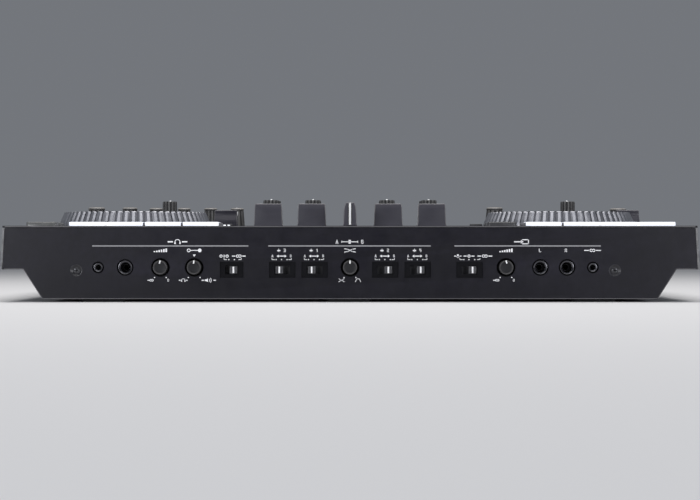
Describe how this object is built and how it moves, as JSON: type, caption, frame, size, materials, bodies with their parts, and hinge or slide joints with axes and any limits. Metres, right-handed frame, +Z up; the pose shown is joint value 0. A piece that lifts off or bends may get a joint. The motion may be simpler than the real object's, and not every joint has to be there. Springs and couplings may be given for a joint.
{
  "type": "dj controller",
  "caption": "Wide black DJ controller with two ribbed jog wheels, lit performance pads, a central fader mixer and a front panel of sockets, knobs and slide switches.",
  "frame": {"origin": "on the table under the middle of the object's box", "axes": "+X the player's right, +Y from the front panel to the rear, +Z up"},
  "size_m": [0.715, 0.426, 0.1122],
  "materials": {
    "base_black": "folded steel sheet in fine matt black powder coat",
    "deck_black": "aluminium plate painted matt, slightly bluish black",
    "panel_black": "moulded panel in fine matt, slightly bluish black",
    "cheek_grey": "satin dark grey side trim",
    "foot_rubber": "matt black rubber",
    "board_green": "circuit board with black pots",
    "bearing_steel": "turned steel",
    "screw_black": "blackened countersunk screw",
    "socket_black": "glossy black socket nut",
    "pad_white": "translucent silicone lit white from below",
    "jog_silver": "ribbed satin aluminium rim, dark top",
    "button_grey": "smoky grey keys",
    "fader_black": "matt cap with a white centre line",
    "knob_black": "soft-touch fluted knob with a white pointer",
    "switch_grey": "ribbed cap with a white line"
  },
  "bodies": {
    "root": {"bottom_case": "base_black", "top_panel": "deck_black", "front_panel": "panel_black", "rear_panel": "panel_black", "side_cheek_left": "cheek_grey", "side_cheek_right": "cheek_grey", "front_foot_left": "foot_rubber", "front_foot_middle": "foot_rubber", "front_foot_right": "foot_rubber", "rear_foot_left": "foot_rubber", "rear_foot_right": "foot_rubber", "control_board": "board_green", "jog_bearing_left": "bearing_steel", "jog_bearing_right": "bearing_steel", "phones_jack": "socket_black", "phones_mini_jack": "socket_black", "aux_jack_left": "socket_black", "aux_jack_right": "socket_black", "aux_mini_jack": "socket_black", "front_screw_left": "screw_black", "front_screw_right": "screw_black", "pad_mat_left": "pad_white", "pad_mat_right": "pad_white"},
    "jog_platter_left": {"jog_platter_left": "jog_silver"},
    "play_button_left": {"play_button_left": "button_grey"},
    "cue_button_left": {"cue_button_left": "button_grey"},
    "tempo_fader_left": {"tempo_fader_left": "fader_black"},
    "parameter_knob_left": {"parameter_knob_left": "knob_black"},
    "loop_encoder_left": {"loop_encoder_left": "knob_black"},
    "jog_platter_right": {"jog_platter_right": "jog_silver"},
    "play_button_right": {"play_button_right": "button_grey"},
    "cue_button_right": {"cue_button_right": "button_grey"},
    "tempo_fader_right": {"tempo_fader_right": "fader_black"},
    "parameter_knob_right": {"parameter_knob_right": "knob_black"},
    "loop_encoder_right": {"loop_encoder_right": "knob_black"},
    "effect_encoder_left": {"effect_encoder_left": "knob_black"},
    "effect_encoder_right": {"effect_encoder_right": "knob_black"},
    "mic_knob_1": {"mic_knob_1": "knob_black"},
    "mic_knob_2": {"mic_knob_2": "knob_black"},
    "mic_knob_3": {"mic_knob_3": "knob_black"},
    "mic_knob_4": {"mic_knob_4": "knob_black"},
    "channel_fader_3": {"channel_fader_3": "fader_black"},
    "filter_knob_3": {"filter_knob_3": "knob_black"},
    "channel_fader_1": {"channel_fader_1": "fader_black"},
    "filter_knob_1": {"filter_knob_1": "knob_black"},
    "channel_fader_2": {"channel_fader_2": "fader_black"},
    "filter_knob_2": {"filter_knob_2": "knob_black"},
    "channel_fader_4": {"channel_fader_4": "fader_black"},
    "filter_knob_4": {"filter_knob_4": "knob_black"},
    "crossfader": {"crossfader": "fader_black"},
    "phones_level_knob": {"phones_level_knob": "knob_black"},
    "phones_mix_knob": {"phones_mix_knob": "knob_black"},
    "curve_knob": {"curve_knob": "knob_black"},
    "aux_level_knob": {"aux_level_knob": "knob_black"},
    "phones_split_switch": {"phones_split_switch": "switch_grey"},
    "assign_switch_3": {"assign_switch_3": "switch_grey"},
    "assign_switch_1": {"assign_switch_1": "switch_grey"},
    "assign_switch_2": {"assign_switch_2": "switch_grey"},
    "assign_switch_4": {"assign_switch_4": "switch_grey"},
    "aux_mode_switch": {"aux_mode_switch": "switch_grey"}
  },
  "joints": [
    {"name": "jog_spin_left", "type": "hinge", "parent": "root", "child": "jog_platter_left", "pos_m": [-0.2405, -0.027, 0.078], "axis": [0, 0, 1], "continuous": true},
    {"name": "play_press_left", "type": "slide", "parent": "root", "child": "play_button_left", "axis": [0, 0, -1], "range_m": [0, 0.001], "stiffness_N_per_m": 2000},
    {"name": "cue_press_left", "type": "slide", "parent": "root", "child": "cue_button_left", "axis": [0, 0, -1], "range_m": [0, 0.001], "stiffness_N_per_m": 2000},
    {"name": "tempo_slide_left", "type": "slide", "parent": "root", "child": "tempo_fader_left", "axis": [0, 1, 0], "range_m": [-0.045, 0.045]},
    {"name": "parameter_turn_left", "type": "hinge", "parent": "root", "child": "parameter_knob_left", "pos_m": [-0.2148, 0.102, 0.078], "axis": [0, 0, -1], "range_deg": [-150, 150]},
    {"name": "loop_turn_left", "type": "hinge", "parent": "root", "child": "loop_encoder_left", "pos_m": [-0.302, 0.102, 0.078], "axis": [0, 0, -1], "continuous": true},
    {"name": "jog_spin_right", "type": "hinge", "parent": "root", "child": "jog_platter_right", "pos_m": [0.2338, -0.027, 0.078], "axis": [0, 0, 1], "continuous": true},
    {"name": "play_press_right", "type": "slide", "parent": "root", "child": "play_button_right", "axis": [0, 0, -1], "range_m": [0, 0.001], "stiffness_N_per_m": 2000},
    {"name": "cue_press_right", "type": "slide", "parent": "root", "child": "cue_button_right", "axis": [0, 0, -1], "range_m": [0, 0.001], "stiffness_N_per_m": 2000},
    {"name": "tempo_slide_right", "type": "slide", "parent": "root", "child": "tempo_fader_right", "axis": [0, 1, 0], "range_m": [-0.045, 0.045]},
    {"name": "parameter_turn_right", "type": "hinge", "parent": "root", "child": "parameter_knob_right", "pos_m": [0.2595, 0.102, 0.078], "axis": [0, 0, -1], "range_deg": [-150, 150]},
    {"name": "loop_turn_right", "type": "hinge", "parent": "root", "child": "loop_encoder_right", "pos_m": [0.1723, 0.102, 0.078], "axis": [0, 0, -1], "continuous": true},
    {"name": "effect_turn_left", "type": "hinge", "parent": "root", "child": "effect_encoder_left", "pos_m": [-0.271, 0.173, 0.078], "axis": [0, 0, -1], "continuous": true},
    {"name": "effect_turn_right", "type": "hinge", "parent": "root", "child": "effect_encoder_right", "pos_m": [0.33, 0.173, 0.078], "axis": [0, 0, -1], "continuous": true},
    {"name": "mic_turn_1", "type": "hinge", "parent": "root", "child": "mic_knob_1", "pos_m": [-0.241, 0.193, 0.078], "axis": [0, 0, -1], "range_deg": [-150, 150]},
    {"name": "mic_turn_2", "type": "hinge", "parent": "root", "child": "mic_knob_2", "pos_m": [-0.206, 0.193, 0.078], "axis": [0, 0, -1], "range_deg": [-150, 150]},
    {"name": "mic_turn_3", "type": "hinge", "parent": "root", "child": "mic_knob_3", "pos_m": [-0.173, 0.193, 0.078], "axis": [0, 0, -1], "range_deg": [-150, 150]},
    {"name": "mic_turn_4", "type": "hinge", "parent": "root", "child": "mic_knob_4", "pos_m": [-0.14, 0.193, 0.078], "axis": [0, 0, -1], "range_deg": [-150, 150]},
    {"name": "channel_slide_3", "type": "slide", "parent": "root", "child": "channel_fader_3", "axis": [0, 1, 0], "range_m": [0, 0.045]},
    {"name": "filter_turn_3", "type": "hinge", "parent": "root", "child": "filter_knob_3", "pos_m": [-0.0875, -0.049, 0.078], "axis": [0, 0, -1], "range_deg": [-150, 150]},
    {"name": "channel_slide_1", "type": "slide", "parent": "root", "child": "channel_fader_1", "axis": [0, 1, 0], "range_m": [0, 0.045]},
    {"name": "filter_turn_1", "type": "hinge", "parent": "root", "child": "filter_knob_1", "pos_m": [-0.041, -0.049, 0.078], "axis": [0, 0, -1], "range_deg": [-150, 150]},
    {"name": "channel_slide_2", "type": "slide", "parent": "root", "child": "channel_fader_2", "axis": [0, 1, 0], "range_m": [0, 0.045]},
    {"name": "filter_turn_2", "type": "hinge", "parent": "root", "child": "filter_knob_2", "pos_m": [0.041, -0.049, 0.078], "axis": [0, 0, -1], "range_deg": [-150, 150]},
    {"name": "channel_slide_4", "type": "slide", "parent": "root", "child": "channel_fader_4", "axis": [0, 1, 0], "range_m": [0, 0.045]},
    {"name": "filter_turn_4", "type": "hinge", "parent": "root", "child": "filter_knob_4", "pos_m": [0.0875, -0.049, 0.078], "axis": [0, 0, -1], "range_deg": [-150, 150]},
    {"name": "crossfader_slide", "type": "slide", "parent": "root", "child": "crossfader", "axis": [1, 0, 0], "range_m": [-0.0225, 0.0225]},
    {"name": "phones_level_turn", "type": "hinge", "parent": "root", "child": "phones_level_knob", "pos_m": [-0.1938, -0.207, 0.0354], "axis": [0, 1, 0], "range_deg": [-150, 150]},
    {"name": "phones_mix_turn", "type": "hinge", "parent": "root", "child": "phones_mix_knob", "pos_m": [-0.1592, -0.207, 0.0354], "axis": [0, 1, 0], "range_deg": [-150, 150]},
    {"name": "curve_turn", "type": "hinge", "parent": "root", "child": "curve_knob", "pos_m": [0, -0.207, 0.0354], "axis": [0, 1, 0], "range_deg": [-150, 150]},
    {"name": "aux_level_turn", "type": "hinge", "parent": "root", "child": "aux_level_knob", "pos_m": [0.1594, -0.207, 0.0354], "axis": [0, 1, 0], "range_deg": [-150, 150]},
    {"name": "phones_split_switch_slide", "type": "slide", "parent": "root", "child": "phones_split_switch", "axis": [1, 0, 0], "range_m": [-0.0038, 0]},
    {"name": "assign_switch_slide_3", "type": "slide", "parent": "root", "child": "assign_switch_3", "axis": [1, 0, 0], "range_m": [0, 0.0062]},
    {"name": "assign_switch_slide_1", "type": "slide", "parent": "root", "child": "assign_switch_1", "axis": [1, 0, 0], "range_m": [0, 0.0062]},
    {"name": "assign_switch_slide_2", "type": "slide", "parent": "root", "child": "assign_switch_2", "axis": [1, 0, 0], "range_m": [-0.0062, 0]},
    {"name": "assign_switch_slide_4", "type": "slide", "parent": "root", "child": "assign_switch_4", "axis": [1, 0, 0], "range_m": [-0.0062, 0]},
    {"name": "aux_mode_switch_slide", "type": "slide", "parent": "root", "child": "aux_mode_switch", "axis": [1, 0, 0], "range_m": [-0.0062, 0]}
  ]
}
